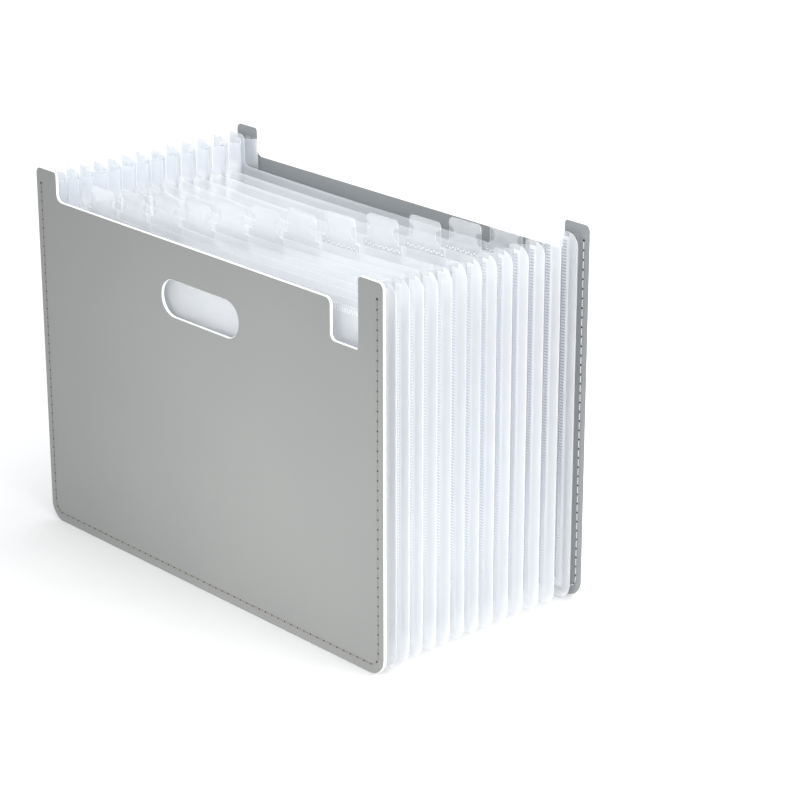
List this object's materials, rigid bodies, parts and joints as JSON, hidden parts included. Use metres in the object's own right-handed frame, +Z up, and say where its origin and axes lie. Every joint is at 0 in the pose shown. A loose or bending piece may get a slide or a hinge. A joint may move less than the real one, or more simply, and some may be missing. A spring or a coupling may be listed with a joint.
{
  "type": "accordion file folder",
  "caption": "Expanding file with stitched grey covers, a hand hole and frosted film pockets with staggered index tabs, joined by V-folded gussets that open and close along its depth.",
  "frame": {"origin": "middle of the footprint, on the floor that the covers stand on, as expanded in the picture", "axes": "+X across the front to the viewer's right, +Y from the front cover to the rear cover, +Z up"},
  "size_m": [0.33, 0.1676, 0.242],
  "materials": {
    "cover_skin": "satin, fine grain",
    "cover_core": "white cut edge",
    "cover_lining": "matt",
    "seam_thread": "twisted thread",
    "wall_film": "frosted clear",
    "gusset_film": "frosted clear",
    "tab_film": "frosted clear"
  },
  "bodies": {
    "front_cover": {"front_skin": "cover_skin", "front_core": "cover_core", "front_lining": "cover_lining", "front_seam_thread": "seam_thread"},
    "wall_01": {"divider_01": "wall_film", "gusset_01": "gusset_film"},
    "wall_02": {"divider_02": "wall_film", "gusset_02": "gusset_film", "index_tab_01": "tab_film"},
    "wall_03": {"divider_03": "wall_film", "gusset_03": "gusset_film", "index_tab_02": "tab_film"},
    "wall_04": {"divider_04": "wall_film", "gusset_04": "gusset_film", "index_tab_03": "tab_film"},
    "wall_05": {"divider_05": "wall_film", "gusset_05": "gusset_film", "index_tab_04": "tab_film"},
    "wall_06": {"divider_06": "wall_film", "gusset_06": "gusset_film", "index_tab_05": "tab_film"},
    "wall_07": {"divider_07": "wall_film", "gusset_07": "gusset_film", "index_tab_06": "tab_film"},
    "wall_08": {"divider_08": "wall_film", "gusset_08": "gusset_film", "index_tab_07": "tab_film"},
    "wall_09": {"divider_09": "wall_film", "gusset_09": "gusset_film", "index_tab_08": "tab_film"},
    "wall_10": {"divider_10": "wall_film", "gusset_10": "gusset_film", "index_tab_09": "tab_film"},
    "wall_11": {"divider_11": "wall_film", "gusset_11": "gusset_film", "index_tab_10": "tab_film"},
    "wall_12": {"divider_12": "wall_film", "gusset_12": "gusset_film", "index_tab_11": "tab_film"},
    "wall_13": {"divider_13": "wall_film", "gusset_13": "gusset_film", "index_tab_12": "tab_film"},
    "rear_cover": {"rear_skin": "cover_skin", "rear_core": "cover_core", "rear_lining": "cover_lining", "rear_seam_thread": "seam_thread", "gusset_14": "gusset_film"}
  },
  "joints": [
    {"name": "expand", "type": "slide", "parent": "front_cover", "child": "rear_cover", "axis": [0, 1, 0], "range_m": [-0.1295, 0.06144], "deforming": ["gusset_14"]},
    {"name": "wall_13_slide", "type": "slide", "parent": "front_cover", "child": "wall_13", "axis": [0, 1, 0], "range_m": [-0.1235, 0.0586], "deforming": ["gusset_13"]},
    {"name": "wall_12_slide", "type": "slide", "parent": "front_cover", "child": "wall_12", "axis": [0, 1, 0], "range_m": [-0.1119, 0.0531], "deforming": ["gusset_12"]},
    {"name": "wall_11_slide", "type": "slide", "parent": "front_cover", "child": "wall_11", "axis": [0, 1, 0], "range_m": [-0.10065, 0.04776], "deforming": ["gusset_11"]},
    {"name": "wall_10_slide", "type": "slide", "parent": "front_cover", "child": "wall_10", "axis": [0, 1, 0], "range_m": [-0.08975, 0.04259], "deforming": ["gusset_10"]},
    {"name": "wall_09_slide", "type": "slide", "parent": "front_cover", "child": "wall_09", "axis": [0, 1, 0], "range_m": [-0.0792, 0.03758], "deforming": ["gusset_09"]},
    {"name": "wall_08_slide", "type": "slide", "parent": "front_cover", "child": "wall_08", "axis": [0, 1, 0], "range_m": [-0.069, 0.03274], "deforming": ["gusset_08"]},
    {"name": "wall_07_slide", "type": "slide", "parent": "front_cover", "child": "wall_07", "axis": [0, 1, 0], "range_m": [-0.05915, 0.02807], "deforming": ["gusset_07"]},
    {"name": "wall_06_slide", "type": "slide", "parent": "front_cover", "child": "wall_06", "axis": [0, 1, 0], "range_m": [-0.04965, 0.02356], "deforming": ["gusset_06"]},
    {"name": "wall_05_slide", "type": "slide", "parent": "front_cover", "child": "wall_05", "axis": [0, 1, 0], "range_m": [-0.0405, 0.01922], "deforming": ["gusset_05"]},
    {"name": "wall_04_slide", "type": "slide", "parent": "front_cover", "child": "wall_04", "axis": [0, 1, 0], "range_m": [-0.0317, 0.01504], "deforming": ["gusset_04"]},
    {"name": "wall_03_slide", "type": "slide", "parent": "front_cover", "child": "wall_03", "axis": [0, 1, 0], "range_m": [-0.02325, 0.01103], "deforming": ["gusset_03"]},
    {"name": "wall_02_slide", "type": "slide", "parent": "front_cover", "child": "wall_02", "axis": [0, 1, 0], "range_m": [-0.01515, 0.00719], "deforming": ["gusset_02"]},
    {"name": "wall_01_slide", "type": "slide", "parent": "front_cover", "child": "wall_01", "axis": [0, 1, 0], "range_m": [-0.0074, 0.00351], "deforming": ["gusset_01"]}
  ],
  "couplings": [
    {"joint": "wall_13_slide", "follows": "expand", "ratio": 0.95367},
    {"joint": "wall_12_slide", "follows": "expand", "ratio": 0.86409},
    {"joint": "wall_11_slide", "follows": "expand", "ratio": 0.77722},
    {"joint": "wall_10_slide", "follows": "expand", "ratio": 0.69305},
    {"joint": "wall_09_slide", "follows": "expand", "ratio": 0.61158},
    {"joint": "wall_08_slide", "follows": "expand", "ratio": 0.53282},
    {"joint": "wall_07_slide", "follows": "expand", "ratio": 0.45676},
    {"joint": "wall_06_slide", "follows": "expand", "ratio": 0.3834},
    {"joint": "wall_05_slide", "follows": "expand", "ratio": 0.31274},
    {"joint": "wall_04_slide", "follows": "expand", "ratio": 0.24479},
    {"joint": "wall_03_slide", "follows": "expand", "ratio": 0.17954},
    {"joint": "wall_02_slide", "follows": "expand", "ratio": 0.11699},
    {"joint": "wall_01_slide", "follows": "expand", "ratio": 0.057143}
  ]
}
